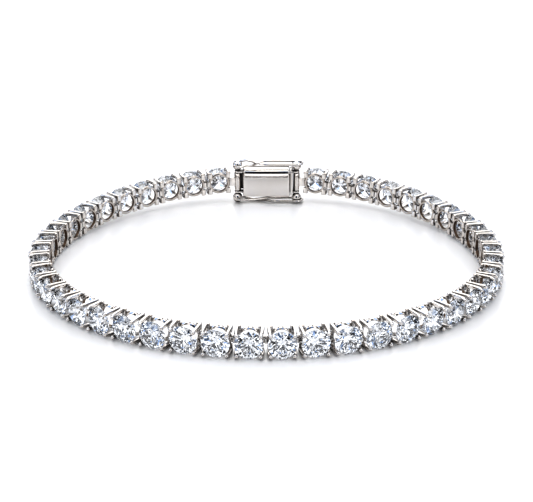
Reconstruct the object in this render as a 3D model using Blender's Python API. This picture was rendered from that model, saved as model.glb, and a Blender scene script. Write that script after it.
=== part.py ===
# A tennis bracelet: forty-four round brilliants in four-claw settings, hinged to
# each other and closed by a box clasp with two figure-of-eight safety latches.
# It lies on its edge as a closed loop, with the clasp at the back (+Y).
# Lengths are written in millimetres and turned to metres by MM.

import math

import bmesh
import bpy
from mathutils import Matrix, Vector

MM = 0.001
CUT_MARGIN = 1.0              # how far a cutter runs past the faces it cuts

# chain
LINK_COUNT = 44
LINK_PITCH = 3.75             # hinge to hinge
LOOP_ASPECT = 0.934           # front to back over side to side, on the hinge line
RISE_LENGTH = 34.0            # chain that slopes up to the clasp at each end

# round brilliant
STONE_DIAMETER = 3.48
TABLE_SHARE = 0.57            # of the diameter, as the two below
CROWN_SHARE = 0.15
PAVILION_SHARE = 0.43
GIRDLE_LEVEL = 0.80           # outward of the link's middle
STONE_SIDES = 12

# setting: a flat base ring that faces the wrist, and four claws that grow from it
RING_RADIUS = 1.68
RING_SIDE = 1.40              # flattened towards the neighbouring links
RING_HOLE_RADIUS = 1.16
RING_HEIGHT = 0.48
RING_LEVEL = -1.43            # wrist side of the ring
HOLE_SIDES = 8
CLAW_TURN = 45.0              # degrees from the run of the chain to a claw
CLAW_WIDTH = 0.50
FOOT_REACH = 2.10             # from the stone's middle line to the foot's outer face
TIP_REACH = 2.12
TIP_DEPTH = 0.70              # inward of the tip's outer face
CLAW_TIP_PROUD = 0.09         # tips stand above the table

# hinge between two links: the bar of a frame passes through the next link's eye
HINGE_INSET = 1.10            # inward of the link's middle
EYE_HALF = 0.30               # eye's half size round the hinge line
EYE_HEIGHT = 0.40
EYE_HOLE = 0.18               # half size
EYE_HOLE_SIDES = 6
BAR_HALF = 0.10
HINGE_CLEARANCE = 0.06
FRAME_ARM = 0.20
FRAME_WEB = 0.02              # left on the ring's side by the frame's window
HINGE_ROOT = 0.12             # how deep the hinge's ends are sunk in the ring

# clasp
CLASP_SPAN = 8.66             # hinge post to hinge post
END_REACH = 2.80              # last stone's middle to the post
POST_INSET = 1.05             # inward of the link's middle
POST_RADIUS = 0.25
CLASP_HEIGHT = 6.40           # over the ball ends
BALL_RADIUS = 0.72
LUG_THICKNESS = 0.28
BARREL_RADIUS = 0.47
CLASP_CLEARANCE = 0.07
ROUND_SIDES = 12
POST_SIDES = 10
BALL_RINGS = 7
BOX_DEPTH = 2.70
BOX_HEIGHT = 4.00
BOX_WALL = 0.35
BOX_CHAMFER = 0.25
BOX_GAP = 0.36                # between the left barrel and the box
END_PLATE = 0.38
END_PLATE_DEPTH = 2.20
END_PLATE_HEIGHT = 3.80
LEAF_THICKNESS = 0.30
LEAF_LENGTH_SHARE = 0.86      # of the box's length
LEAF_SIDE_GAP = 0.30          # inside the box, above and below the leaf

# safety latches: a closed wire, threaded through the left ball and round the right
WIRE_RADIUS = 0.13
WIRE_SIDES = 6
LATCH_LEVEL = 0.35            # of the free loop, beyond the ball's middle
LATCH_SIDE = 0.14             # clear of the ball's side, at the threaded end
LATCH_HUMP = 0.20             # rise of the rear arm beside the ball
TOP_CROSSING = -1.9           # along the clasp, from its middle
BOTTOM_CROSSING = 0.1
LOOP_START = 1.2              # before the right ball, where the free loop is at full width
BEND_OUT = 0.35               # beyond the left ball, where the wire leaves its side
LATCH_STEPS = 2               # points between two turning points of the wire

FRAME_HEIGHT = EYE_HEIGHT + 2 * HINGE_CLEARANCE + 2 * FRAME_ARM
STONE_RADIUS = STONE_DIAMETER / 2
TABLE_LEVEL = GIRDLE_LEVEL + CROWN_SHARE * STONE_DIAMETER
CULET_LEVEL = GIRDLE_LEVEL - PAVILION_SHARE * STONE_DIAMETER
RING_TOP = RING_LEVEL + RING_HEIGHT
POST_X = CLASP_SPAN / 2
BALL_Z = CLASP_HEIGHT / 2 - BALL_RADIUS
BARREL_HALF = BALL_Z - BALL_RADIUS - LUG_THICKNESS - 2 * CLASP_CLEARANCE
CLASP_LIFT = CLASP_HEIGHT / 2 - STONE_RADIUS


def clear_scene():
    for item in list(bpy.data.objects):
        bpy.data.objects.remove(item, do_unlink=True)


def make_collection(name):
    collection = bpy.data.collections.new(name)
    bpy.context.scene.collection.children.link(collection)
    return collection


def make_material(name, colour, metallic, roughness, transmission=0.0, ior=1.5):
    material = bpy.data.materials.new(name)
    material.use_nodes = True
    shader = material.node_tree.nodes["Principled BSDF"]
    shader.inputs["Base Color"].default_value = (*colour, 1.0)
    shader.inputs["Metallic"].default_value = metallic
    shader.inputs["Roughness"].default_value = roughness
    shader.inputs["Transmission Weight"].default_value = transmission
    shader.inputs["IOR"].default_value = ior
    return material


def ring_points(radius, sides, level, turn=0.0):
    angles = [turn + 2 * math.pi * i / sides for i in range(sides)]
    return [(radius * math.cos(a), radius * math.sin(a), level) for a in angles]


def mesh_object(name, bm, finish=0):
    # a scratch object in metres; finish is the index of its faces' material
    bmesh.ops.recalc_face_normals(bm, faces=bm.faces)
    for face in bm.faces:
        face.material_index = finish
    bmesh.ops.scale(bm, vec=(MM, MM, MM), verts=bm.verts)
    mesh = bpy.data.meshes.new(name)
    bm.to_mesh(mesh)
    bm.free()
    item = bpy.data.objects.new(name, mesh)
    scratch.objects.link(item)
    for material in finishes:
        mesh.materials.append(material)
    return item


def convex(name, points, finish=0):
    # the convex solid round a set of corners
    bm = bmesh.new()
    for point in points:
        bm.verts.new(point)
    bmesh.ops.convex_hull(bm, input=bm.verts)
    bmesh.ops.dissolve_limit(bm, angle_limit=math.radians(0.1), verts=bm.verts, edges=bm.edges)
    return mesh_object(name, bm, finish)


def block(name, low, high):
    bm = bmesh.new()
    bmesh.ops.create_cube(bm, size=1.0)
    size = [b - a for a, b in zip(low, high)]
    middle = [(a + b) / 2 for a, b in zip(low, high)]
    bmesh.ops.scale(bm, vec=size, verts=bm.verts)
    bmesh.ops.translate(bm, vec=middle, verts=bm.verts)
    return mesh_object(name, bm)


def cylinder(name, radius, low, high, middle=(0, 0), sides=ROUND_SIDES, axis="Z"):
    # low and high are places along the axis; middle is across it
    bm = bmesh.new()
    bmesh.ops.create_cone(bm, cap_ends=True, segments=sides, radius1=radius, radius2=radius,
                          depth=high - low)
    bmesh.ops.translate(bm, vec=(0, 0, (low + high) / 2), verts=bm.verts)
    if axis == "Y":
        bmesh.ops.rotate(bm, matrix=Matrix.Rotation(math.radians(-90), 3, "X"), verts=bm.verts)
        bmesh.ops.translate(bm, vec=(middle[0], 0, middle[1]), verts=bm.verts)
    else:
        bmesh.ops.translate(bm, vec=(middle[0], middle[1], 0), verts=bm.verts)
    return mesh_object(name, bm)


def ball(name, radius, middle):
    bm = bmesh.new()
    bmesh.ops.create_uvsphere(bm, u_segments=ROUND_SIDES, v_segments=BALL_RINGS, radius=radius)
    bmesh.ops.translate(bm, vec=middle, verts=bm.verts)
    return mesh_object(name, bm)


def combine(name, first, added=(), cut=()):
    # unites the added solids with the first, takes the cut ones away, and returns the mesh
    for operation, tools in (("UNION", added), ("DIFFERENCE", cut)):
        for tool in tools:
            modifier = first.modifiers.new(tool.name, "BOOLEAN")
            modifier.operation = operation
            modifier.solver = "EXACT"
            modifier.object = tool
    bpy.context.view_layer.update()
    evaluated = first.evaluated_get(bpy.context.evaluated_depsgraph_get())
    mesh = bpy.data.meshes.new_from_object(evaluated)
    mesh.name = name
    for item in (first, *added, *cut):
        bpy.data.objects.remove(item, do_unlink=True)
    return mesh


def scratch_from(mesh):
    item = bpy.data.objects.new(mesh.name, mesh)
    scratch.objects.link(item)
    return item


def brilliant():
    table = ring_points(TABLE_SHARE * STONE_RADIUS, STONE_SIDES, TABLE_LEVEL)
    girdle = ring_points(STONE_RADIUS, STONE_SIDES, GIRDLE_LEVEL)
    return convex("brilliant", table + girdle + [(0, 0, CULET_LEVEL)], finish=1)


def claw_turns():
    turn = math.radians(CLAW_TURN)
    return [turn, math.pi - turn, math.pi + turn, 2 * math.pi - turn]


def ring_outline():
    # corners of the base ring from above: one on each axis, two at each claw
    half = math.asin(CLAW_WIDTH / 2 / RING_RADIUS)
    corners = []
    for quarter, turn in enumerate(claw_turns()):
        reach = RING_RADIUS if quarter % 2 else RING_SIDE
        corners.append((reach, quarter * math.pi / 2))
        corners += [(RING_RADIUS, turn - half), (RING_RADIUS, turn + half)]
    return [(reach * math.cos(angle), reach * math.sin(angle)) for reach, angle in corners]


def basket():
    # base ring with its four feet and the claws that rise from them
    bm = bmesh.new()
    outline = ring_outline()
    low, high = [[bm.verts.new((x, y, level)) for x, y in outline] for level in (RING_LEVEL, RING_TOP)]
    hole_low, hole_high = [[bm.verts.new(p) for p in ring_points(RING_HOLE_RADIUS, HOLE_SIDES, level)]
                           for level in (RING_LEVEL, RING_TOP)]
    for i in range(HOLE_SIDES):
        j = (i + 1) % HOLE_SIDES
        bm.faces.new((hole_low[i], hole_high[i], hole_high[j], hole_low[j]))
    tip_level = TABLE_LEVEL + CLAW_TIP_PROUD
    root = RING_RADIUS * math.cos(math.asin(CLAW_WIDTH / 2 / RING_RADIUS))
    for i in range(len(outline)):
        j = (i + 1) % len(outline)
        if i % 3 != 1:
            bm.faces.new((low[i], low[j], high[j], high[i]))
            continue
        turn = claw_turns()[i // 3]
        out = Vector((math.cos(turn), math.sin(turn), 0))
        sides = []
        for k in (i, j):
            foot = bm.verts.new(low[k].co + out * (FOOT_REACH - root))
            base = Vector((low[k].co.x, low[k].co.y, tip_level))
            tip = bm.verts.new(base + out * (TIP_REACH - root))
            back = bm.verts.new(base + out * (TIP_REACH - TIP_DEPTH - root))
            bm.faces.new((low[k], foot, tip, back, high[k]))
            sides.append((low[k], foot, tip, back, high[k]))
        for n in range(len(sides[0]) - 1):
            bm.faces.new((sides[0][n], sides[0][n + 1], sides[1][n + 1], sides[1][n]))
    for outer, inner in ((low, hole_low), (high, hole_high)):
        loops = [bm.edges.get((loop[n - 1], loop[n])) or bm.edges.new((loop[n - 1], loop[n]))
                 for loop in (outer, inner) for n in range(len(loop))]
        bmesh.ops.bridge_loops(bm, edges=loops)
    return mesh_object("basket", bm)


def eye():
    # a block on the ring's side, pierced along the link's height
    hinge = LINK_PITCH / 2
    half = EYE_HEIGHT / 2
    solid = block("eye", (RING_SIDE - HINGE_ROOT, -half, -HINGE_INSET - EYE_HALF),
                  (hinge + EYE_HALF, half, -HINGE_INSET + EYE_HALF))
    radius = EYE_HOLE / math.cos(math.pi / EYE_HOLE_SIDES)
    hole = cylinder("eye_hole", radius, -half - CUT_MARGIN, half + CUT_MARGIN,
                    (hinge, -HINGE_INSET), EYE_HOLE_SIDES, axis="Y")
    return scratch_from(combine("eye", solid, cut=[hole]))


def hinge_frame():
    # a flat frame on the other side, whose outer bar is the hinge's pin
    hinge = -LINK_PITCH / 2
    half = FRAME_HEIGHT / 2
    window = half - FRAME_ARM
    low, high = -HINGE_INSET - BAR_HALF, -HINGE_INSET + BAR_HALF
    solid = block("frame", (hinge - BAR_HALF, -half, low), (HINGE_ROOT - RING_SIDE, half, high))
    opening = block("window", (hinge + BAR_HALF, -window, low - CUT_MARGIN),
                    (-RING_SIDE - FRAME_WEB, window, high + CUT_MARGIN))
    return scratch_from(combine("frame", solid, cut=[opening]))


def barrel_side(side):
    # the last link's tab and the upright tube that turns on the clasp's post
    half = FRAME_HEIGHT / 2
    xs = sorted((side * (RING_SIDE - HINGE_ROOT), side * (END_REACH - BARREL_RADIUS / 2)))
    tab = block("tab", (xs[0], -half, -POST_INSET - FRAME_ARM), (xs[1], half, -POST_INSET + FRAME_ARM))
    middle = (side * END_REACH, -POST_INSET)
    tube = cylinder("barrel", BARREL_RADIUS, -BARREL_HALF, BARREL_HALF, middle, axis="Y")
    reach = BARREL_HALF + CUT_MARGIN
    bore = cylinder("bore", post_hole_radius(), -reach, reach, middle, axis="Y")
    return [tab, tube], [bore]


def post_hole_radius():
    return (POST_RADIUS + CLASP_CLEARANCE) / math.cos(math.pi / ROUND_SIDES)


def link_mesh(name, start, end):
    # start and end name what is on the link's two sides: frame, eye or barrel
    solids, bores = [brilliant()], []
    if start == "frame":
        solids.append(hinge_frame())
    if end == "eye":
        solids.append(eye())
    for side, kind in ((-1, start), (1, end)):
        if kind == "barrel":
            added, bores = barrel_side(side)
            solids += added
    return combine(name, basket(), solids, bores)


def loop_point(half_width, turn):
    # the hinge line seen from above; turn is 0 at the front and grows towards +X
    return Vector((half_width * math.sin(turn), -LOOP_ASPECT * half_width * math.cos(turn), 0))


def next_turn(half_width, turn, chord):
    # where a straight link of this length ends on the hinge line
    start = loop_point(half_width, turn)
    low, high = turn, turn + 2 * chord / half_width
    for _ in range(60):
        middle = (low + high) / 2
        if (loop_point(half_width, middle) - start).length < chord:
            low = middle
        else:
            high = middle
    return low


def half_chain(half_width):
    # hinge points from the front to the back on the +X side, and the clasp's post
    turns = [0.0]
    for _ in range(LINK_COUNT // 2 - 1):
        turns.append(next_turn(half_width, turns[-1], LINK_PITCH))
    turns.append(next_turn(half_width, turns[-1], LINK_PITCH / 2 + END_REACH))
    points = [loop_point(half_width, turn) for turn in turns]
    run = (points[-1] - points[-2]).normalized()
    inward = Vector((-run.y, run.x, 0))
    post = points[-1] + inward * (POST_INSET - HINGE_INSET)
    return points, post


def closed_half_width():
    # the loop's size follows from the chain's length: its ends meet the clasp's posts
    low, high = 0.5, 2.0
    length = LINK_COUNT * LINK_PITCH / (2 * math.pi)
    for _ in range(60):
        middle = (low + high) / 2
        if half_chain(middle * length)[1].x < POST_X:
            low = middle
        else:
            high = middle
    return low * length


def rise(from_post):
    # how far the chain is lifted, at a distance along it from the clasp's post
    share = max(0.0, 1.0 - from_post / RISE_LENGTH)
    return CLASP_LIFT * share * share * (3 - 2 * share)


def chain_points():
    points, post = half_chain(closed_half_width())
    last = LINK_COUNT // 2
    for index, point in enumerate(points):
        from_post = 0.0 if index == last else LINK_PITCH / 2 + END_REACH + (last - 1 - index) * LINK_PITCH
        point.z = rise(from_post)
    post.z = CLASP_LIFT
    mirrored = [Vector((-p.x, p.y, p.z)) for p in reversed(points[1:])]
    return mirrored + points, post


def link_place(start, end, from_start):
    # a link's x runs along the chain, its y up and its z out of the loop
    along = (end - start).normalized()
    out = Vector((along.y, -along.x, 0)).normalized()
    up = out.cross(along)
    middle = start + along * from_start + out * HINGE_INSET
    turn = Matrix((along, up, out)).transposed().to_4x4()
    return Matrix.Translation(middle * MM) @ turn


def place(name, mesh, matrix, parent, smooth=False):
    item = bpy.data.objects.new(name, mesh)
    parts.objects.link(item)
    item.parent = parent
    item.matrix_local = matrix
    if smooth:
        mesh.shade_smooth()
        mesh.set_sharp_from_angle(angle=math.radians(40))
    return item


def build_chain(parent):
    first = link_mesh("link_first", "barrel", "eye")
    plain = link_mesh("link_plain", "frame", "eye")
    final = link_mesh("link_last", "frame", "barrel")
    points, post = chain_points()
    for index in range(LINK_COUNT):
        start, end = points[index], points[index + 1]
        mesh, from_start = plain, LINK_PITCH / 2
        if index == 0:
            mesh, from_start = first, (end - start).length - LINK_PITCH / 2
        if index == LINK_COUNT - 1:
            mesh = final
        place("link_%02d" % (index + 1), mesh, link_place(start, end, from_start), parent)
    return post


def lug_pair(side, face_x):
    # two eyes that reach from face_x to the post, above and below the barrel
    solids = []
    for level in (-1, 1):
        edges = sorted((level * (BARREL_HALF + CLASP_CLEARANCE),
                        level * (BARREL_HALF + CLASP_CLEARANCE + LUG_THICKNESS)))
        xs = sorted((face_x, side * POST_X))
        solids.append(block("lug", (xs[0], -BARREL_RADIUS, edges[0]), (xs[1], BARREL_RADIUS, edges[1])))
        solids.append(cylinder("lug_end", BARREL_RADIUS, *edges, (side * POST_X, 0)))
    hole = cylinder("lug_hole", post_hole_radius(), -BALL_Z, BALL_Z, (side * POST_X, 0))
    return solids, [hole]


def box_ends():
    left = -POST_X + BARREL_RADIUS + BOX_GAP
    right = POST_X - BARREL_RADIUS - END_PLATE - 2 * CLASP_CLEARANCE
    return left, right


def clasp_box_mesh():
    left, right = box_ends()
    y, z, c = BOX_DEPTH / 2, BOX_HEIGHT / 2, BOX_CHAMFER
    upper = [(y, z - c), (y - c, z), (c - y, z), (-y, z - c)]
    outline = upper + [(py, -pz) for py, pz in upper]
    shell = convex("box", [(x, py, pz) for x in (left, right) for py, pz in outline])
    hollow = block("hollow", (left + BOX_WALL, BOX_WALL - y, BOX_WALL - z),
                   (right + CUT_MARGIN, y - BOX_WALL, z - BOX_WALL))
    solids, holes = lug_pair(-1, left + BOX_WALL / 2)
    return combine("clasp_box", shell, solids, [hollow] + holes)


def clasp_tongue_mesh():
    # end plate with its lugs, and the folded spring leaf inside the box
    left, right = box_ends()
    face = right + CLASP_CLEARANCE
    y, z = END_PLATE_DEPTH / 2, END_PLATE_HEIGHT / 2
    plate = block("end_plate", (face, -y, -z), (face + END_PLATE, y, z))
    solids, holes = lug_pair(1, face + END_PLATE / 2)
    tip = right - LEAF_LENGTH_SHARE * (right - left - BOX_WALL)
    half = BOX_HEIGHT / 2 - BOX_WALL - LEAF_SIDE_GAP
    near = -BOX_DEPTH / 2 + BOX_WALL + CLASP_CLEARANCE
    far = BOX_DEPTH / 2 - BOX_WALL - CLASP_CLEARANCE
    t = LEAF_THICKNESS
    solids.append(block("lower_leaf", (tip, near, -half), (face + END_PLATE / 2, near + t, half)))
    slope = [(tip, near), (tip, near + t), (right - 2 * t, far), (right - 2 * t, far - t)]
    solids.append(convex("upper_leaf", [(px, py, pz) for px, py in slope for pz in (-half, half)]))
    return combine("clasp_tongue", plate, solids, holes)


def post_mesh(side):
    rod = cylinder("rod", POST_RADIUS, -BALL_Z, BALL_Z, (side * POST_X, 0), POST_SIDES)
    balls = [ball("ball", BALL_RADIUS, (side * POST_X, 0, level * BALL_Z)) for level in (-1, 1)]
    holes = []
    if side < 0:
        radius = (WIRE_RADIUS + CLASP_CLEARANCE) / math.cos(math.pi / ROUND_SIDES)
        for level in (-1, 1):
            holes.append(cylinder("wire_hole", radius, -BALL_RADIUS - CUT_MARGIN, BALL_RADIUS + CUT_MARGIN,
                                  (-POST_X, level * BALL_Z), axis="Y"))
    return combine("hinge_post", rod, balls, holes)


def latch_points(crossing):
    # turning points of the closed wire, from the middle of the threaded ball and back to it
    side = BALL_RADIUS + LATCH_SIDE + WIRE_RADIUS
    loop_radius = math.sqrt(BALL_RADIUS ** 2 - LATCH_LEVEL ** 2) + CLASP_CLEARANCE + WIRE_RADIUS
    start, end = -POST_X, POST_X
    over = WIRE_RADIUS + CLASP_CLEARANCE / 2
    low = LATCH_LEVEL
    gap = crossing - start
    front = [
        (start, -BALL_RADIUS, 0.0),
        (start + 0.2 * BEND_OUT, -side, 0.0),
        (start + BEND_OUT, -side - 0.05, 0.02),
        (start + 0.55 * gap, -0.62 * side, low * 0.35),
        (crossing, 0.0, low * 0.8 - over),
        (crossing + 0.25 * (end - crossing), loop_radius * 0.85, low),
        (end - LOOP_START, loop_radius, low),
    ]
    back = [
        (end - LOOP_START, -loop_radius, low),
        (crossing + 0.25 * (end - crossing), -loop_radius * 0.85, low),
        (crossing, 0.0, low * 0.8 + over),
        (start + 0.55 * gap, 0.62 * side, low + LATCH_HUMP),
        (start + 1.2 * BEND_OUT, side + 0.05, low * 0.6),
        (start + 0.2 * BEND_OUT, side, 0.02),
        (start, BALL_RADIUS, 0.0),
    ]
    arc = []
    for step in range(5):
        angle = math.radians(80 - 40 * step)
        arc.append((end + loop_radius * math.cos(angle), loop_radius * math.sin(angle), low))
    return [Vector(p) for p in front + arc + back]


def smooth_closed(points, steps):
    # a closed curve through the points, with a straight run where the wire is threaded
    count = len(points)
    result = []
    for i in range(count - 1):
        p0, p1 = points[i - 1], points[i]
        p2, p3 = points[i + 1], points[(i + 2) % count]
        for step in range(steps):
            t = step / steps
            result.append(0.5 * ((2 * p1) + (p2 - p0) * t + (2 * p0 - 5 * p1 + 4 * p2 - p3) * t * t
                                 + (3 * p1 - p0 - 3 * p2 + p3) * t ** 3))
    result.append(points[-1])
    return result


def latch_mesh(name, level, crossing):
    path = smooth_closed(latch_points(crossing), LATCH_STEPS)
    curve = bpy.data.curves.new(name, "CURVE")
    curve.dimensions = "3D"
    curve.bevel_depth = WIRE_RADIUS * MM
    curve.bevel_resolution = (WIRE_SIDES - 4) // 2
    spline = curve.splines.new("POLY")
    spline.points.add(len(path) - 1)
    for point, place_on in zip(spline.points, path):
        point.co = (place_on.x * MM, place_on.y * MM, level * (BALL_Z + place_on.z) * MM, 1.0)
    spline.use_cyclic_u = True
    item = bpy.data.objects.new(name, curve)
    scratch.objects.link(item)
    bpy.context.view_layer.update()
    evaluated = item.evaluated_get(bpy.context.evaluated_depsgraph_get())
    mesh = bpy.data.meshes.new_from_object(evaluated)
    bpy.data.objects.remove(item, do_unlink=True)
    bm = bmesh.new()
    bm.from_mesh(mesh)
    bmesh.ops.remove_doubles(bm, verts=bm.verts, dist=0.0001 * MM)
    bmesh.ops.recalc_face_normals(bm, faces=bm.faces)
    bm.to_mesh(mesh)
    bm.free()
    mesh.materials.append(finishes[0])
    return mesh


def build_clasp(parent, post):
    middle = Matrix.Translation(Vector((0, post.y, post.z)) * MM)
    place("clasp_box", clasp_box_mesh(), middle, parent)
    place("clasp_tongue", clasp_tongue_mesh(), middle, parent)
    place("hinge_post_left", post_mesh(-1), middle, parent, smooth=True)
    place("hinge_post_right", post_mesh(1), middle, parent, smooth=True)
    for name, level, crossing in (("safety_latch_top", 1, TOP_CROSSING),
                                  ("safety_latch_bottom", -1, BOTTOM_CROSSING)):
        # each latch has its origin on its hinge axis, in the middle of the left ball
        hinge = Vector((-POST_X, 0, level * BALL_Z)) * MM
        mesh = latch_mesh(name, level, crossing)
        mesh.transform(Matrix.Translation(-hinge))
        place(name, mesh, middle @ Matrix.Translation(hinge), parent, smooth=True)


def stand_on_origin(parent):
    # the middle of the bracelet's underside goes to the world's origin
    bpy.context.view_layer.update()
    corners = [item.matrix_world @ v.co for item in parts.objects if item.type == "MESH"
               for v in item.data.vertices]
    low = [min(c[i] for c in corners) for i in range(3)]
    high = [max(c[i] for c in corners) for i in range(3)]
    parent.location = (-(low[0] + high[0]) / 2, -(low[1] + high[1]) / 2, -low[2])


clear_scene()
parts = make_collection("tennis_bracelet")
scratch = make_collection("scratch_solids")
white_gold = make_material("polished_white_gold", (0.82, 0.82, 0.83), 1.0, 0.08)
diamond = make_material("diamond", (0.98, 0.98, 1.0), 0.0, 0.0, transmission=1.0, ior=2.42)
finishes = [white_gold, diamond]
loop = bpy.data.objects.new("bracelet", None)
parts.objects.link(loop)
clasp_post = build_chain(loop)
build_clasp(loop, clasp_post)
stand_on_origin(loop)
bpy.context.view_layer.update()
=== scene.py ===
import math

import bmesh
import bpy
from mathutils import Matrix, Vector


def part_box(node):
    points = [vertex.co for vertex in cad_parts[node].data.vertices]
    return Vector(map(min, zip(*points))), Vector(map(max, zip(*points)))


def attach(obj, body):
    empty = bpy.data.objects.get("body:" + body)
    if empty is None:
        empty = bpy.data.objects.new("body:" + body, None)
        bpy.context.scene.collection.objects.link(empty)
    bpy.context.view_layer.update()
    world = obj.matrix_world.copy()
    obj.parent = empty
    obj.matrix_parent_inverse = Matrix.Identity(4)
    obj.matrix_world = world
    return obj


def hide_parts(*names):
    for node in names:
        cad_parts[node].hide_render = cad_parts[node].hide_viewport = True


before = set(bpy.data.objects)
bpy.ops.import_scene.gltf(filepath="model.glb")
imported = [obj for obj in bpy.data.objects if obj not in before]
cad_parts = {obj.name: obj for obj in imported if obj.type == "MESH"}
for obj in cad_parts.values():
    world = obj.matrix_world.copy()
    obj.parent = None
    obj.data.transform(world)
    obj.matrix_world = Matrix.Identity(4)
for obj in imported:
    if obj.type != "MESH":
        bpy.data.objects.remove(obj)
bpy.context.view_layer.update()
mm = 0.001  # every size below is in millimetres unless it says otherwise
print("frame loaded,", len(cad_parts), "CAD nodes")


def hexToLinear(code):
    # sRGB hex to linear colour with full alpha
    parts = [int(code[i:i + 2], 16) / 255 for i in (1, 3, 5)]
    return tuple(p / 12.92 if p <= 0.04045 else ((p + 0.055) / 1.055) ** 2.4 for p in parts) + (1.0,)


def addNode(tree, kind, values=None, links=None, **settings):
    # one node with its settings, socket values and incoming links
    node = tree.nodes.new(kind)
    for name, value in settings.items():
        setattr(node, name, value)
    for socket, value in (values or {}).items():
        node.inputs[socket].default_value = value
    for socket, source in (links or {}).items():
        tree.links.new(source, node.inputs[socket])
    return node


def newMaterial(name):
    material = bpy.data.materials.new(name)
    material.use_nodes = True
    material.node_tree.nodes.clear()
    return material, material.node_tree


# painted shade: where two surfaces of metal face each other closely, the metal is coloured dark brown
# and made dull, standing in for the shade in gaps and at the feet of claws
paintedShade = {"colour": "#2a1f18", "roughness": 0.6, "reach": 0.58, "from": 0.38, "to": 0.82}


def withPaintedShade(tree, bright, shine):
    # the links for a shader that is metal in the open and painted shade, dull dark brown, in the recesses
    near = addNode(tree, "ShaderNodeAmbientOcclusion", {"Distance": paintedShade["reach"] * mm}, samples=8)
    unshaded = addNode(tree, "ShaderNodeMapRange", {"From Min": paintedShade["from"], "From Max": paintedShade["to"]},
                   {"Value": near.outputs["AO"]}, interpolation_type="SMOOTHSTEP").outputs["Result"]
    colour = addNode(tree, "ShaderNodeMix", {"A": hexToLinear(paintedShade["colour"])},
                     {"Factor": unshaded, "B": bright}, data_type="RGBA")
    roughness = addNode(tree, "ShaderNodeMix", {"A": paintedShade["roughness"]}, {"Factor": unshaded, "B": shine})
    return {"Base Color": colour.outputs["Result"], "Metallic": unshaded,
            "Roughness": roughness.outputs["Result"]}


# white gold, rhodium plated and polished to a mirror: near-white highlights, deep, faintly warm darks that
# are partly reflections of the tent's dark cards and partly painted shade in the recesses, and the slight
# waves that a polishing wheel leaves
polished = {"name": "whiteGoldRhodiumPolished", "colour": "#e9e6e3", "warm": "#dfdad5",
            "roughness": (0.035, 0.11), "cloudSize": 2.5, "waveSize": 0.9, "waveHeight": 0.004}

# the same white gold, drawn over fine paper on the side that faces the wrist: a soft
# sheen in which reflections blur
satin = {"name": "whiteGoldSatin", "colour": "#f3f1f0", "warm": "#eae7e4", "roughness": (0.14, 0.24),
         "cloudSize": 0.3, "waveSize": 0.12, "waveHeight": 0.001}

# the backs of the settings, filed flat and only lightly polished: greyer than the clasp
filed = {"name": "whiteGoldFiled", "colour": "#d6d1cc", "warm": "#bfb7af", "roughness": (0.10, 0.20),
         "cloudSize": 0.8, "waveSize": 0.25, "waveHeight": 0.002}

# inside the holes, painted shade: the walls are coloured dark brown-grey to stand in for the shade that falls
# there, and made dull
holeShade = {"name": "whiteGoldHoleShade", "colour": "#8a7869", "warm": "#64564a", "roughness": (0.35, 0.55),
        "cloudSize": 0.4, "waveSize": 0.15, "waveHeight": 0.006}

waveStrength = 0.35  # of the bump that every finish has


def whiteGold(look):
    material, tree = newMaterial(look["name"])
    where = addNode(tree, "ShaderNodeTexCoord").outputs["Object"]
    cloud = addNode(tree, "ShaderNodeTexNoise", {"Scale": 1 / (look["cloudSize"] * mm), "Detail": 3.0},
                    {"Vector": where}).outputs["Fac"]
    colour = addNode(tree, "ShaderNodeMix",
                     {"A": hexToLinear(look["colour"]), "B": hexToLinear(look["warm"])},
                     {"Factor": cloud}, data_type="RGBA").outputs["Result"]
    low, high = look["roughness"]
    shine = addNode(tree, "ShaderNodeMapRange", {"To Min": low, "To Max": high},
                    {"Value": cloud}).outputs["Result"]
    wave = addNode(tree, "ShaderNodeTexNoise", {"Scale": 1 / (look["waveSize"] * mm), "Detail": 1.0},
                   {"Vector": where}).outputs["Fac"]
    # painted shade: every finish turns dull dark brown where other metal is close
    links = withPaintedShade(tree, colour, shine)
    links["Normal"] = addNode(tree, "ShaderNodeBump",
                              {"Strength": waveStrength, "Distance": look["waveHeight"] * mm},
                              {"Height": wave}).outputs["Normal"]
    shader = addNode(tree, "ShaderNodeBsdfPrincipled", links=links)
    addNode(tree, "ShaderNodeOutputMaterial", links={"Surface": shader.outputs["BSDF"]})
    return material


# diamond, cut and polished: clear and colourless, with a high index that turns light
# back inside the stone and splits it into bright and dark flashes
diamond = {"colour": "#ffffff", "tint": "#f3f8ff", "ior": 2.417, "tintSize": 1.1}


def cutDiamond():
    material, tree = newMaterial("diamondColourlessCut")
    where = addNode(tree, "ShaderNodeTexCoord").outputs["Object"]
    cloud = addNode(tree, "ShaderNodeTexNoise", {"Scale": 1 / (diamond["tintSize"] * mm)}, {"Vector": where})
    colour = addNode(tree, "ShaderNodeMix",
                     {"A": hexToLinear(diamond["colour"]), "B": hexToLinear(diamond["tint"])},
                     {"Factor": cloud.outputs["Fac"]}, data_type="RGBA")
    shader = addNode(tree, "ShaderNodeBsdfPrincipled",
                     {"Roughness": 0.0, "IOR": diamond["ior"], "Transmission Weight": 1.0},
                     {"Base Color": colour.outputs["Result"]})
    addNode(tree, "ShaderNodeOutputMaterial", links={"Surface": shader.outputs["BSDF"]})
    return material


# a face's material index picks its finish from this list
polishedFace, satinFace, holeShadeFace, filedFace = range(4)
metals = [whiteGold(look) for look in (polished, satin, holeShade, filed)]
gem = cutDiamond()
print("materials made")


# the chain as it lies: hinge to hinge, round an oval, rising a little to the clasp
chain = {"links": 44, "pitch": 3.75, "aspect": 0.934, "rise": 34.0, "hingeInset": 1.10,
         "endReach": 2.80, "postInset": 1.05, "claspSpan": 8.66, "claspHeight": 6.40, "stone": 3.48,
         "narrowest": 10.0, "widest": 60.0}
halvings = 60  # of the interval in which a fitting turn or width is sought


def ovalPoint(halfWidth, turn):
    # turn is 0 at the front and grows towards +X
    return Vector((halfWidth * math.sin(turn), -chain["aspect"] * halfWidth * math.cos(turn), 0))


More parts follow.
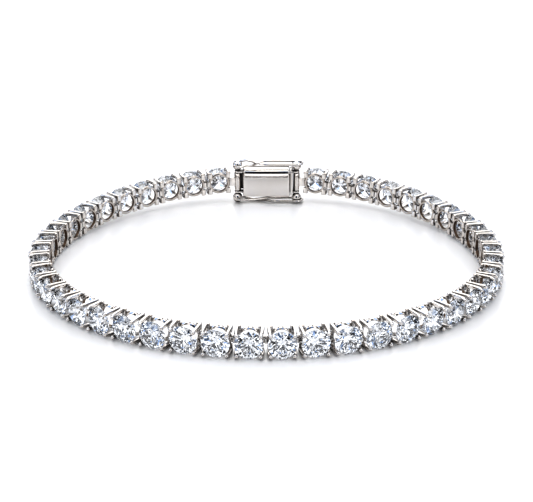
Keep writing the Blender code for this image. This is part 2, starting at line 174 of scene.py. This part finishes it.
def nextTurn(halfWidth, turn, chord):
    start = ovalPoint(halfWidth, turn)
    low, high = turn, turn + 2 * chord / halfWidth
    for _ in range(halvings):
        middle = (low + high) / 2
        if (ovalPoint(halfWidth, middle) - start).length < chord:
            low = middle
        else:
            high = middle
    return low


def halfChain(halfWidth):
    # hinge points from the front to the back on the +X side, then the clasp's post
    turns = [0.0]
    for _ in range(chain["links"] // 2 - 1):
        turns.append(nextTurn(halfWidth, turns[-1], chain["pitch"]))
    turns.append(nextTurn(halfWidth, turns[-1], chain["pitch"] / 2 + chain["endReach"]))
    points = [ovalPoint(halfWidth, turn) for turn in turns]
    run = (points[-1] - points[-2]).normalized()
    return points, points[-1] + Vector((-run.y, run.x, 0)) * (chain["postInset"] - chain["hingeInset"])


def chainPoints():
    # the oval whose chain just meets the clasp's posts, and the lift of each hinge
    low, high = chain["narrowest"], chain["widest"]
    for _ in range(halvings):
        middle = (low + high) / 2
        if halfChain(middle)[1].x < chain["claspSpan"] / 2:
            low = middle
        else:
            high = middle
    points, post = halfChain(low)
    lift = (chain["claspHeight"] - chain["stone"]) / 2
    endRun = chain["pitch"] / 2 + chain["endReach"]
    for index, point in enumerate(points):
        linksBack = len(points) - 2 - index
        fromPost = endRun + linksBack * chain["pitch"] if linksBack >= 0 else 0.0
        share = max(0.0, 1 - fromPost / chain["rise"])
        point.z = lift * share * share * (3 - 2 * share)
    post.z = lift
    return [Vector((-p.x, p.y, p.z)) for p in reversed(points[1:])] + points, post


def linkPlaces():
    # a link's x runs along the chain, its y up and its z out of the loop
    points, post = chainPoints()
    places = []
    for index in range(chain["links"]):
        start, end = points[index], points[index + 1]
        fromStart = (end - start).length - chain["pitch"] / 2 if index == 0 else chain["pitch"] / 2
        along = (end - start).normalized()
        out = Vector((along.y, -along.x, 0)).normalized()
        up = out.cross(along)
        middle = start + along * fromStart + out * chain["hingeInset"]
        places.append(Matrix.Translation(middle * mm) @ Matrix((along, up, out)).transposed().to_4x4())
    return places, post


def loopOrigin(post):
    # the CAD model's own origin, read from the clasp box and a link at the front
    low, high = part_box("clasp_box")
    frontLow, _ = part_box("link_22")
    return Vector((0.0, (low.y + high.y) / 2 - post.y * mm, frontLow.z + chain["stone"] / 2 * mm))


places, claspPost = linkPlaces()
origin = loopOrigin(claspPost)
places = [Matrix.Translation(origin) @ matrix for matrix in places]
claspPlace = Matrix.Translation(origin + Vector((0, claspPost.y, claspPost.z)) * mm)
print("chain laid out, loop origin at", [round(c / mm, 3) for c in origin], "mm")


# mesh helpers, all in millimetres

def turned(bm, profile, steps, finishes=None, middle=(0, 0, 0), axis="Z"):
    # a closed profile of (radius, level) turned once round the axis, with a finish for
    # each side of the profile if they differ
    rows = []
    for step in range(steps):
        angle = 2 * math.pi * step / steps
        row = []
        for radius, level in profile:
            x, y = radius * math.cos(angle), radius * math.sin(angle)
            spot = Vector((x, y, level)) if axis == "Z" else Vector((x, level, -y))
            row.append(bm.verts.new(spot + Vector(middle)))
        rows.append(row)
    count = len(profile)
    for step in range(steps):
        here, there = rows[step], rows[(step + 1) % steps]
        for k in range(count):
            face = bm.faces.new((here[k], there[k], there[(k + 1) % count], here[(k + 1) % count]))
            face.material_index = finishes[k] if finishes else polishedFace
            face.smooth = True


def soften(bm, edges, faces, offset, segments, finish):
    # rounds the edges, then gives the old and the new faces their finish
    made = bmesh.ops.bevel(bm, geom=edges, offset=offset, segments=segments, profile=0.5, affect="EDGES")
    for face in [face for face in faces if face.is_valid] + made["faces"]:
        face.material_index = finish
        face.smooth = True


def roundedBlock(bm, low, high, edge, finish=polishedFace):
    new = bmesh.ops.create_cube(bm, size=1.0)["verts"]
    bmesh.ops.scale(bm, vec=[b - a for a, b in zip(low, high)], verts=new)
    bmesh.ops.translate(bm, vec=[(a + b) / 2 for a, b in zip(low, high)], verts=new)
    edges = list(dict.fromkeys(e for v in new for e in v.link_edges))
    faces = list(dict.fromkeys(f for v in new for f in v.link_faces))
    soften(bm, edges, faces, edge, 3, finish)


def extruded(bm, outline, low, high, edge):
    # a flat outline with thickness and softened rims
    bottom = [bm.verts.new((x, y, low)) for x, y in outline]
    face = bm.faces.new(bottom)
    top = bmesh.ops.extrude_face_region(bm, geom=[face], use_keep_orig=True)["geom"]
    topVerts = [g for g in top if isinstance(g, bmesh.types.BMVert)]
    for vert in topVerts:
        vert.co.z = high
    topFace = [g for g in top if isinstance(g, bmesh.types.BMFace)][0]
    faces = list(dict.fromkeys(f for v in bottom + topVerts for f in v.link_faces))
    soften(bm, list(face.edges) + list(topFace.edges), faces, edge, 2, polishedFace)


def sweep(bm, stations, sides):
    # stations are (centre, acrossX, acrossY, squareness); the ends are capped
    rings = []
    for centre, acrossX, acrossY, square in stations:
        ring = []
        for i in range(sides):
            angle = 2 * math.pi * (i + 0.5) / sides
            c, s = math.cos(angle), math.sin(angle)
            u = math.copysign(abs(c) ** (2 / square), c)
            v = math.copysign(abs(s) ** (2 / square), s)
            ring.append(bm.verts.new(centre + acrossX * u + acrossY * v))
        rings.append(ring)
    made = []
    for here, there in zip(rings, rings[1:]):
        for i in range(sides):
            j = (i + 1) % sides
            made.append(bm.faces.new((here[i], here[j], there[j], there[i])))
    made.append(bm.faces.new(list(reversed(rings[0]))))
    made.append(bm.faces.new(rings[-1]))
    for face in made:
        face.smooth = True


sharpAngle = 35  # degrees between two faces from which their edge shades as sharp


def meshFrom(name, bm, materials):
    bmesh.ops.recalc_face_normals(bm, faces=bm.faces)
    bmesh.ops.scale(bm, vec=(mm, mm, mm), verts=bm.verts)
    mesh = bpy.data.meshes.new(name)
    bm.to_mesh(mesh)
    bm.free()
    for material in materials:
        mesh.materials.append(material)
    mesh.set_sharp_from_angle(angle=math.radians(sharpAngle))
    return mesh


def place(name, mesh, matrix, body, nodes):
    # a piece in its place, riding its body and standing for its CAD nodes
    piece = bpy.data.objects.new(name, mesh)
    bpy.context.scene.collection.objects.link(piece)
    piece.matrix_world = matrix
    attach(piece, body)
    if nodes:
        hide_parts(*nodes)


# round brilliant: 33 facets above the girdle and 24 below it; angles are in degrees
facetTurn = 360 / 16
brilliant = {"table": 0.57, "crownAngle": 34.5, "pavilionAngle": 40.75, "star": 0.52,
             "lowerHalf": 0.78, "tableLevel": 1.322, "girdle": 0.13, "arcSteps": 3,
             "crownDip": 1.15, "pavilionDip": 1.05, "turns": 7, "turnStep": 5}


def brilliantMesh(share):
    # the whole cut is turned by a share of the angle between two facet corners
    cut = brilliant
    first = math.radians(facetTurn * share)
    radius = chain["stone"] / 2
    crown = math.tan(math.radians(cut["crownAngle"]))
    pavilion = math.tan(math.radians(cut["pavilionAngle"]))
    tableRadius = radius * cut["table"]
    girdleTop = cut["tableLevel"] - (radius - tableRadius) * crown
    girdleLow = girdleTop - cut["girdle"]
    half = math.radians(facetTurn)
    tableEdge = tableRadius * math.cos(half)
    starRadius = tableEdge + cut["star"] * (radius - tableEdge)
    lowerRadius = radius * (1 - cut["lowerHalf"])
    bm = bmesh.new()

    def spot(r, turn, level):
        return bm.verts.new((r * math.cos(turn + first), r * math.sin(turn + first), level))

    tables = [spot(tableRadius, 2 * k * half, cut["tableLevel"]) for k in range(8)]
    starLevel = girdleTop + (radius - starRadius * math.cos(half)) * crown
    stars = [spot(starRadius, (2 * k + 1) * half, starLevel) for k in range(8)]
    lowerLevel = girdleLow - (radius - lowerRadius * math.cos(half)) * pavilion
    lowers = [spot(lowerRadius, (2 * k + 1) * half, lowerLevel) for k in range(8)]
    culet = spot(0, 0, girdleLow - radius * pavilion)

    # the girdle dips between facet corners, as the flat facets cut into the round edge
    steps = cut["arcSteps"]
    tops, lows = [], []
    for n in range(16 * steps):
        turn = n * half / steps
        mid = (n // steps + 0.5) * half
        dip = radius * (math.cos(turn - mid) / math.cos(half / 2) - 1)
        tops.append(spot(radius, turn, girdleTop - dip * crown * cut["crownDip"]))
        lows.append(spot(radius, turn, girdleLow + dip * pavilion * cut["pavilionDip"]))

    def arc(row, k):
        return [row[(k * steps + n) % len(row)] for n in range(steps + 1)]

    bm.faces.new(tables)
    for k in range(8):
        after = (k + 1) % 8
        bm.faces.new((tables[k], stars[k], tables[after]))
        bm.faces.new((tables[k], stars[k - 1], tops[2 * k * steps], stars[k]))
        bm.faces.new((culet, lowers[k - 1], lows[2 * k * steps], lowers[k]))
        for part in (2 * k, 2 * k + 1):
            bm.faces.new([stars[k]] + arc(tops, part))
            bm.faces.new([lowers[k]] + arc(lows, part))
    for n in range(len(tops)):
        m = (n + 1) % len(tops)
        bm.faces.new((tops[n], tops[m], lows[m], lows[n]))
    mesh = meshFrom("brilliant", bm, [gem])
    mesh.shade_flat()
    return mesh


# four-claw setting: a rounded ring on the wrist side with square corners and side tabs,
# four claws that rise from its corners, and the hinge
setting = {"ringOuter": 1.60, "ringHole": 1.22, "plateBack": -1.43, "plateFront": -0.95, "rimLevel": -1.19,
           "rounding": ((0.0, 0.08), (0.015, 0.03), (0.05, 0.005), (0.11, 0.0), (0.18, 0.01), (0.25, 0.035),
                        (0.31, 0.08), (0.355, 0.14), (0.38, 0.21)),
           "ringInner": 1.30, "edge": 0.04, "ringSteps": 48, "clawSides": 24,
           "cornerIn": 1.02, "cornerOut": 1.66, "cornerLow": 0.74, "cornerHigh": 1.64, "cornerFront": -1.05,
           "cornerDeeper": 0.004, "cornerEdge": 0.088,
           "tabRoot": 0.2, "tabHalf": 0.38, "tabDrop": 0.08, "tabReach": 1.81, "tabFront": -1.05,
           "tabDeeper": 0.006, "tabEdge": 0.035,
           "pinLevel": -1.02, "eyeOuter": 0.24, "eyeHole": 0.10, "eyeHalf": 0.24, "eyeSteps": 20,
           "neckRoot": 0.25, "neckHalf": 0.16, "pin": 0.09, "pinSides": 12, "pinEnd": 0.02,
           "armRoot": 0.3, "armHalf": 0.12, "armWidth": 0.20, "armGap": 0.04, "hingeEdge": 0.03}

# a claw from foot to tip: level, distance of its middle along and across the chain, half
# its width along and across, and how square it is (2 is round)
clawStations = [(-1.15, 1.53, 1.42, 0.21, 0.225, 6.0), (-0.6, 1.53, 1.42, 0.21, 0.225, 6.0),
                (0.1, 1.53, 1.40, 0.21, 0.225, 5.0), (0.65, 1.51, 1.375, 0.21, 0.23, 4.0),
                (0.9, 1.475, 1.345, 0.225, 0.24, 3.0), (1.08, 1.43, 1.305, 0.25, 0.255, 2.4),
                (1.22, 1.395, 1.265, 0.245, 0.245, 2.0), (1.33, 1.375, 1.235, 0.18, 0.18, 2.0),
                (1.385, 1.365, 1.22, 0.07, 0.07, 2.0)]


def claw(bm, sideX, sideY):
    centres = [Vector((sideX * along, sideY * across, level)) for level, along, across, *_ in clawStations]
    stations = []
    for k, (_, _, _, halfAlong, halfAcross, square) in enumerate(clawStations):
        ahead = centres[min(k + 1, len(centres) - 1)] - centres[max(k - 1, 0)]
        tilt = Vector((0, 0, 1)).rotation_difference(ahead.normalized())
        acrossX = tilt @ Vector((halfAlong, 0, 0))
        acrossY = tilt @ Vector((0, halfAcross, 0))
        stations.append((centres[k], acrossX, acrossY, square))
    sweep(bm, stations, setting["clawSides"])


def basket(bm):
    s = setting
    e = s["edge"]
    # the wrist side of the ring is rounded, most of all towards its outer edge
    profile = [(s["ringHole"] + out, s["plateBack"] + drop) for out, drop in s["rounding"]]
    profile += [(s["ringOuter"] - e, s["rimLevel"] + 0.75 * e),
                (s["ringInner"] + e, s["plateFront"] - 0.25 * e),
                (s["ringInner"], s["plateFront"]), (s["ringHole"] + e, s["plateFront"]),
                (s["ringHole"], s["plateFront"] - e)]
    # filed on the wrist side, polished towards the stone, painted shade inside the hole
    filedSides = len(s["rounding"])
    polishedSides = len(profile) - filedSides - 1
    finishes = [filedFace] * filedSides + [polishedFace] * polishedSides + [holeShadeFace]
    turned(bm, profile, s["ringSteps"], finishes)
    for sideX in (-1, 1):
        for sideY in (-1, 1):
            claw(bm, sideX, sideY)
            xs = sorted((sideX * s["cornerIn"], sideX * s["cornerOut"]))
            ys = sorted((sideY * s["cornerLow"], sideY * s["cornerHigh"]))
            roundedBlock(bm, (xs[0], ys[0], s["plateBack"] + s["cornerDeeper"]),
                         (xs[1], ys[1], s["cornerFront"]), s["cornerEdge"], filedFace)


def sideTab(bm, side):
    s = setting
    xs = sorted((side * (s["ringHole"] + s["tabRoot"]), side * s["tabReach"]))
    roundedBlock(bm, (xs[0], -s["tabHalf"] - s["tabDrop"], s["plateBack"] + s["tabDeeper"]),
                 (xs[1], s["tabHalf"] - s["tabDrop"], s["tabFront"]), s["tabEdge"], filedFace)


def eyeHalf(bm):
    # the eye on the +x side, with the neck that joins it to the ring
    s = setting
    hinge = chain["pitch"] / 2
    profile = [(s["eyeHole"], -s["eyeHalf"]), (s["eyeOuter"], -s["eyeHalf"]),
               (s["eyeOuter"], s["eyeHalf"]), (s["eyeHole"], s["eyeHalf"])]
    turned(bm, profile, s["eyeSteps"], middle=(hinge, 0, s["pinLevel"]), axis="Y")
    roundedBlock(bm, (s["ringOuter"] - s["neckRoot"], -s["eyeHalf"], s["pinLevel"] - s["neckHalf"]),
                 (hinge, s["eyeHalf"], s["pinLevel"] + s["neckHalf"]), s["hingeEdge"])


def pinHalf(bm):
    # the pin on the -x side, between two arms
    s = setting
    hinge = -chain["pitch"] / 2
    inner = s["eyeHalf"] + s["armGap"]
    outer = inner + s["armWidth"]
    for level in (-1, 1):
        ys = sorted((level * inner, level * outer))
        roundedBlock(bm, (hinge - s["armHalf"], ys[0], s["pinLevel"] - s["armHalf"]),
                     (-s["ringOuter"] + s["armRoot"], ys[1], s["pinLevel"] + s["armHalf"]), s["hingeEdge"])
    stations = [(Vector((hinge, y, s["pinLevel"])), Vector((s["pin"], 0, 0)), Vector((0, 0, s["pin"])), 2.0)
                for y in (-outer + s["pinEnd"], outer - s["pinEnd"])]
    sweep(bm, stations, s["pinSides"])


# the tube on each end link, which turns on the clasp's post
barrel = {"outer": 0.47, "hole": 0.32, "half": 1.34, "edge": 0.07, "cornerShare": 0.3, "steps": 32,
          "tabHalf": 0.60, "tabThick": 0.40, "tabRoot": 0.3, "tabDepth": 0.1, "tabEdge": 0.05}


def barrelHalf(bm, side):
    b = barrel
    x, z = side * chain["endReach"], -chain["postInset"]
    cut = b["cornerShare"] * b["edge"]
    corner = [(b["outer"] - b["edge"], b["half"]), (b["outer"] - cut, b["half"] - cut),
              (b["outer"], b["half"] - b["edge"])]
    profile = [(b["hole"], -b["half"])] + [(radius, -level) for radius, level in corner]
    profile += corner[::-1] + [(b["hole"], b["half"])]
    turned(bm, profile, b["steps"], middle=(x, 0, z), axis="Y")
    xs = sorted((side * (setting["ringOuter"] - b["tabRoot"]),
                 side * (chain["endReach"] - b["outer"] + b["tabDepth"])))
    roundedBlock(bm, (xs[0], -b["tabHalf"], z - b["tabThick"] / 2),
                 (xs[1], b["tabHalf"], z + b["tabThick"] / 2), b["tabEdge"])


def settingMesh(name, start, end):
    bm = bmesh.new()
    basket(bm)
    if start == "pin":
        sideTab(bm, -1)
        pinHalf(bm)
    else:
        barrelHalf(bm, -1)
    if end == "eye":
        sideTab(bm, 1)
        eyeHalf(bm)
    else:
        barrelHalf(bm, 1)
    return meshFrom(name, bm, metals)


def buildChain():
    # the turns are in the meshes, so that a stone's own box is no larger than the stone
    stones = [brilliantMesh(turn / brilliant["turns"]) for turn in range(brilliant["turns"])]
    first = settingMesh("settingFirst", "barrel", "eye")
    plain = settingMesh("settingPlain", "pin", "eye")
    last = settingMesh("settingLast", "pin", "barrel")
    worst = 0.0
    for index, matrix in enumerate(places):
        number = "%02d" % (index + 1)
        mesh = first if index == 0 else last if index == chain["links"] - 1 else plain
        # neighbouring stones are set at different turns
        stone = stones[index * brilliant["turnStep"] % brilliant["turns"]]
        place("setting_" + number, mesh, matrix, "bracelet", ["link_" + number])
        place("stone_" + number, stone, matrix, "bracelet", [])
        low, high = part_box("link_" + number)
        off = (low + high) / 2 - matrix.translation
        worst = max(worst, abs(off.z) / mm)
    print("chain built, links' mid heights within %.2f mm of the CAD nodes" % worst)


buildChain()


# box clasp: hollow box, end plate with its leaf, lugs, posts with ball ends
clasp = {"ball": 0.72, "ballSteps": 40, "ballRows": 24, "post": 0.25, "postSides": 24,
         "lug": 0.28, "lugSteps": 16, "clearance": 0.07,
         "boxDepth": 2.70, "boxHeight": 4.00, "boxEdge": 0.22, "boxGap": 0.36, "wall": 0.35,
         "boxLugRoot": 0.1, "endLugRoot": 0.15, "softEdge": 0.05,
         "endPlate": 0.38, "endDepth": 2.20, "endHeight": 3.80, "endEdge": 0.07,
         "plateInset": 0.20, "plateStep": 0.07, "plateThick": 0.3, "slopeHeight": 0.18, "slopeDepth": 0.076,
         "backWallReach": 0.42, "backWallRoot": 0.25, "backWallNear": 0.56, "backWallFar": 0.95,
         "leaf": 0.30, "leafShare": 0.86, "leafGap": 0.30, "leafEdge": 0.04}
clasp["postX"] = chain["claspSpan"] / 2
clasp["ballZ"] = chain["claspHeight"] / 2 - clasp["ball"]
clasp["left"] = -clasp["postX"] + barrel["outer"] + clasp["boxGap"]
clasp["right"] = clasp["postX"] - barrel["outer"] - clasp["endPlate"] - 2 * clasp["clearance"]


def lugPair(bm, side, faceX):
    # two flat eyes that reach from the box or end plate round the post
    c = clasp
    radius = barrel["outer"]
    outline = [(faceX, -radius)]
    for step in range(c["lugSteps"] + 1):
        angle = math.pi * (step / c["lugSteps"] - 0.5)
        outline.append((side * (c["postX"] + radius * math.cos(angle)), radius * math.sin(angle)))
    outline.append((faceX, radius))
    near = barrel["half"] + c["clearance"]
    for level in (-1, 1):
        low, high = sorted((level * near, level * (near + c["lug"])))
        extruded(bm, outline, low, high, c["softEdge"])


def hollowOut(bm, left, y, z, wall):
    # opens the box at its right end and gives it inner walls
    bm.normal_update()
    end = max((face for face in bm.faces if face.normal.x > 0.99), key=lambda face: face.calc_area())
    rim = list(end.verts)
    bm.faces.remove(end)
    mouth = []
    deep = []
    for vert in rim:
        innerY = math.copysign(y - wall, vert.co.y)
        innerZ = math.copysign(z - wall, vert.co.z)
        mouth.append(bm.verts.new((vert.co.x, innerY, innerZ)))
        deep.append(bm.verts.new((left + wall, innerY, innerZ)))
    for k in range(len(rim)):
        j = (k + 1) % len(rim)
        bm.faces.new((rim[k], rim[j], mouth[j], mouth[k]))
        bm.faces.new((mouth[k], mouth[j], deep[j], deep[k]))
    bm.faces.new(deep)


def wristPlate(bm, front, half):
    # a smooth plate a hair proud of the box, whose upper and lower edges slope back
    c = clasp
    slope, back = c["slopeHeight"], front + c["plateThick"]
    profile = [(back, -half), (front + c["slopeDepth"], -half), (front, slope - half), (front, half - slope),
               (front + c["slopeDepth"], half), (back, half)]
    ends = []
    for x in (c["left"] + c["plateInset"], c["right"] - c["plateInset"]):
        ends.append([bm.verts.new((x, y, z)) for y, z in profile])
    faces = [bm.faces.new(ends[0]), bm.faces.new(ends[1])]
    rims = [edge for face in faces for edge in face.edges]
    for k in range(len(profile)):
        j = (k + 1) % len(profile)
        faces.append(bm.faces.new((ends[0][k], ends[1][k], ends[1][j], ends[0][j])))
    soften(bm, rims, faces, c["softEdge"], 2, satinFace)


def claspBox():
    c = clasp
    bm = bmesh.new()
    y, z = c["boxDepth"] / 2, c["boxHeight"] / 2
    roundedBlock(bm, (c["left"], -y + c["plateStep"], -z), (c["right"], y, z), c["boxEdge"])
    hollowOut(bm, c["left"], y, z, c["wall"])
    wristPlate(bm, -y, z - c["plateInset"])
    # the back wall reaches on behind the barrel
    roundedBlock(bm, (c["left"] - c["backWallReach"], c["backWallNear"], -barrel["half"]),
                 (c["left"] + c["backWallRoot"], c["backWallFar"], barrel["half"]), c["softEdge"])
    lugPair(bm, -1, c["left"] + c["boxLugRoot"])
    return meshFrom("claspBox", bm, metals)


def claspTongue():
    c = clasp
    bm = bmesh.new()
    face = c["right"] + c["clearance"]
    y, z = c["endDepth"] / 2, c["endHeight"] / 2
    roundedBlock(bm, (face, -y, -z), (face + c["endPlate"], y, z), c["endEdge"])
    lugPair(bm, 1, face + c["endLugRoot"])
    # the folded spring leaf inside the box: one half lies flat, the other slopes up from its tip
    inner, thick = c["wall"] + c["clearance"], c["leaf"]
    near, far = -c["boxDepth"] / 2 + inner, c["boxDepth"] / 2 - inner
    tip = c["right"] - c["leafShare"] * (c["right"] - c["left"] - c["wall"])
    half = c["boxHeight"] / 2 - c["wall"] - c["leafGap"]
    roundedBlock(bm, (tip, near, -half), (face + c["endPlate"] / 2, near + thick, half), c["softEdge"])
    end = c["right"] - 2 * thick
    slope = [(tip, near), (end, far - thick), (end, far), (tip, near + thick)]
    extruded(bm, slope, -half, half, c["leafEdge"])
    return meshFrom("claspTongue", bm, metals)


def hingePost(side):
    c = clasp
    bm = bmesh.new()
    x = side * c["postX"]
    for level in (-1, 1):
        ball = bmesh.ops.create_uvsphere(bm, u_segments=c["ballSteps"], v_segments=c["ballRows"],
                                         radius=c["ball"])["verts"]
        bmesh.ops.translate(bm, vec=(x, 0, level * c["ballZ"]), verts=ball)
        for vert in ball:
            for face in vert.link_faces:
                face.smooth = True
    stations = [(Vector((x, 0, level)), Vector((c["post"], 0, 0)), Vector((0, c["post"], 0)), 2.0)
                for level in (-c["ballZ"], c["ballZ"])]
    sweep(bm, stations, c["postSides"])
    return meshFrom("hingePost", bm, [metals[polishedFace]])


# safety latches: one closed wire each, threaded through the left ball, crossed over
# itself and sprung round the right ball in an arc of twice arcHalf degrees
latch = {"wire": 0.17, "level": 0.35, "side": 0.14, "hump": 0.20, "bow": 0.05, "straight": 1.2,
         "topCrossing": -1.9, "bottomCrossing": 0.1, "arcHalf": 80, "arcSteps": 4, "steps": 8,
         "wireSteps": 5}


def latchPoints(crossing):
    # the route's points are given as shares of the stretches that they lie on
    ball, wire, low = clasp["ball"], latch["wire"], latch["level"]
    side = ball + latch["side"] + wire
    loopRadius = math.sqrt(ball ** 2 - low ** 2) + clasp["clearance"] + wire
    start, end = -clasp["postX"], clasp["postX"]
    over = wire + clasp["clearance"] / 2
    gap = crossing - start
    past = crossing + 0.25 * (end - crossing)
    front = [(start, -ball, 0.0), (start + 0.07, -side, 0.0), (start + 0.35, -side - latch["bow"], 0.02),
             (start + 0.55 * gap, -0.62 * side, low * 0.35), (crossing, 0.0, low * 0.8 - over),
             (past, loopRadius * 0.85, low), (end - latch["straight"], loopRadius, low)]
    back = [(end - latch["straight"], -loopRadius, low), (past, -loopRadius * 0.85, low),
            (crossing, 0.0, low * 0.8 + over), (start + 0.55 * gap, 0.62 * side, low + latch["hump"]),
            (start + 0.42, side + latch["bow"], low * 0.6), (start + 0.07, side, 0.02), (start, ball, 0.0)]
    arc = []
    for step in range(latch["arcSteps"] + 1):
        angle = math.radians(latch["arcHalf"] * (1 - 2 * step / latch["arcSteps"]))
        arc.append((end + loopRadius * math.cos(angle), loopRadius * math.sin(angle), low))
    return [Vector(point) for point in front + arc + back]


def smoothClosed(points, steps):
    # through every point, with a straight run where the wire is threaded
    count = len(points)
    result = []
    for i in range(count - 1):
        p0, p1, p2, p3 = points[i - 1], points[i], points[i + 1], points[(i + 2) % count]
        for step in range(steps):
            t = step / steps
            result.append(0.5 * ((2 * p1) + (p2 - p0) * t + (2 * p0 - 5 * p1 + 4 * p2 - p3) * t * t
                                 + (3 * p1 - p0 - 3 * p2 + p3) * t ** 3))
    return result + [points[-1]]


def latchWire(name, level, crossing):
    path = smoothClosed(latchPoints(crossing), latch["steps"])
    curve = bpy.data.curves.new(name, "CURVE")
    curve.dimensions = "3D"
    curve.bevel_depth = latch["wire"] * mm
    curve.bevel_resolution = latch["wireSteps"]
    spline = curve.splines.new("POLY")
    spline.points.add(len(path) - 1)
    for point, spot in zip(spline.points, path):
        point.co = (spot.x * mm, spot.y * mm, level * (clasp["ballZ"] + spot.z) * mm, 1.0)
    spline.use_cyclic_u = True
    curve.materials.append(metals[polishedFace])
    return curve


def buildClasp():
    place("clasp_box_dressed", claspBox(), claspPlace, "bracelet", ["clasp_box"])
    place("clasp_end_plate", claspTongue(), claspPlace, "bracelet", ["clasp_tongue"])
    place("post_left", hingePost(-1), claspPlace, "bracelet", ["hinge_post_left"])
    place("post_right", hingePost(1), claspPlace, "bracelet", ["hinge_post_right"])
    for side, level in (("top", 1), ("bottom", -1)):
        wire = latchWire("latch_wire_" + side, level, latch[side + "Crossing"])
        place("latch_wire_" + side, wire, claspPlace, "latch_" + side, ["safety_latch_" + side])
    print("clasp built")


buildClasp()


# studio: white table, white tent hung with cards, camera at the photo's angle. Angles are in
# degrees, and the camera's place is counted from the loop's origin
studio = {"table": "#f0eeec", "tableSize": 3000, "tableDrop": 0.02, "tableGlow": 0.10,
          "tableShine": (0.24, 0.26), "tableCloud": 25.0, "tent": "#ffffff", "tentStrength": 1.4,
          "exposure": 0.30, "contrast": 0.64,
          "camera": (0.642, -208.07, 81.01), "pitch": 21.094, "yaw": 0.174, "focalPixels": 1680.3,
          "imageWidth": 533, "sensor": 36.0, "nearest": 10, "farthest": 20000}


def whiteTable():
    # white acrylic, half polished and lit softly from below: it mirrors the bracelet as a blur
    material, tree = newMaterial("whiteAcrylicGloss")
    where = addNode(tree, "ShaderNodeTexCoord").outputs["Object"]
    cloud = addNode(tree, "ShaderNodeTexNoise", {"Scale": 1 / (studio["tableCloud"] * mm)}, {"Vector": where})
    low, high = studio["tableShine"]
    shine = addNode(tree, "ShaderNodeMapRange", {"To Min": low, "To Max": high},
                    {"Value": cloud.outputs["Fac"]})
    shader = addNode(tree, "ShaderNodeBsdfPrincipled",
                     {"Base Color": hexToLinear(studio["table"]),
                      "Emission Color": hexToLinear(studio["tent"]),
                      "Emission Strength": studio["tableGlow"]},
                     {"Roughness": shine.outputs["Result"]})
    addNode(tree, "ShaderNodeOutputMaterial", links={"Surface": shader.outputs["BSDF"]})
    mesh = bpy.data.meshes.new("table")
    half = studio["tableSize"] / 2 * mm
    corners = [(-half, -half, 0), (half, -half, 0), (half, half, 0), (-half, half, 0)]
    mesh.from_pydata(corners, [], [(0, 1, 2, 3)])
    mesh.materials.append(material)
    table = bpy.data.objects.new("table", mesh)
    table.location.z = -studio["tableDrop"] * mm
    bpy.context.scene.collection.objects.link(table)


# cards hung in the tent, in degrees: azimuth from the camera's side and elevation of the
# middle, half width, half height, softness of the edge, and colour. Each hangs on both
# sides alike, but for the one above the camera
cards = [(180, 1, 80, 6, 3, "#221c18"), (0, 25, 58, 19, 4, "#0b0f17"), (34, 22, 8, 18, 3, "#ffffff"),
         (17, 42, 5, 7, 3, "#7799c8"), (30, 64, 8, 5, 4, "#1c2a48"), (80, 26, 8, 18, 5, "#a9c2e6"),
         (108, 18, 8, 13, 4, "#1b1512"), (148, 24, 10, 18, 4, "#1a2948"), (122, 48, 9, 9, 4, "#a9c2e6")]


def lightTent():
    world = bpy.data.worlds.new("tent")
    bpy.context.scene.world = world
    world.use_nodes = True
    tree = world.node_tree
    tree.nodes.clear()

    def maths(operation, a, b=None):
        values = {n: v for n, v in ((0, a), (1, b)) if isinstance(v, (int, float))}
        links = {n: v for n, v in ((0, a), (1, b)) if v is not None and n not in values}
        return addNode(tree, "ShaderNodeMath", values, links, operation=operation).outputs["Value"]

    heading = addNode(tree, "ShaderNodeTexCoord").outputs["Generated"]
    parts = addNode(tree, "ShaderNodeSeparateXYZ", links={"Vector": heading}).outputs
    azimuth = maths("DEGREES", maths("ARCTAN2", parts["X"], maths("MULTIPLY", parts["Y"], -1.0)))
    elevation = maths("DEGREES", maths("ARCSINE", parts["Z"]))
    canvas = addNode(tree, "ShaderNodeRGB").outputs["Color"]
    canvas.default_value = hexToLinear(studio["tent"])
    hung = [(side * card[0], *card[1:]) for card in cards for side in ((-1, 1) if card[0] else (1,))]
    for cardAzimuth, cardElevation, wide, tall, soft, tint in hung:
        masks = []
        for angle, middle, half in ((azimuth, cardAzimuth, wide), (elevation, cardElevation, tall)):
            off = maths("ABSOLUTE", maths("SUBTRACT", angle, float(middle)))
            mask = addNode(tree, "ShaderNodeMapRange",
                           {"From Min": float(half + soft), "From Max": float(half)},
                           {"Value": off}, interpolation_type="SMOOTHSTEP")
            masks.append(mask.outputs["Result"])
        canvas = addNode(tree, "ShaderNodeMix", {"B": hexToLinear(tint)},
                         {"Factor": maths("MULTIPLY", *masks), "A": canvas},
                         data_type="RGBA").outputs["Result"]
    background = addNode(tree, "ShaderNodeBackground", {"Strength": studio["tentStrength"]},
                         {"Color": canvas})
    addNode(tree, "ShaderNodeOutputWorld", links={"Surface": background.outputs["Background"]})


def setCamera():
    data = bpy.data.cameras.new("camera")
    data.sensor_width = studio["sensor"]
    data.lens = studio["sensor"] * studio["focalPixels"] / studio["imageWidth"]
    data.clip_start = studio["nearest"] * mm
    data.clip_end = studio["farthest"] * mm
    camera = bpy.data.objects.new("camera", data)
    camera.location = origin + Vector(studio["camera"]) * mm
    camera.rotation_euler = (math.radians(90 - studio["pitch"]), 0, math.radians(studio["yaw"]))
    bpy.context.scene.collection.objects.link(camera)
    bpy.context.scene.camera = camera


whiteTable()
lightTent()
setCamera()
look = bpy.context.scene.view_settings
look.view_transform = "Standard"
look.exposure = studio["exposure"]
look.gamma = studio["contrast"]
light = bpy.context.scene.cycles
light.max_bounces = 24  # a stone turns light back many times
light.glossy_bounces = 8
light.transmission_bounces = 16
print("studio set")
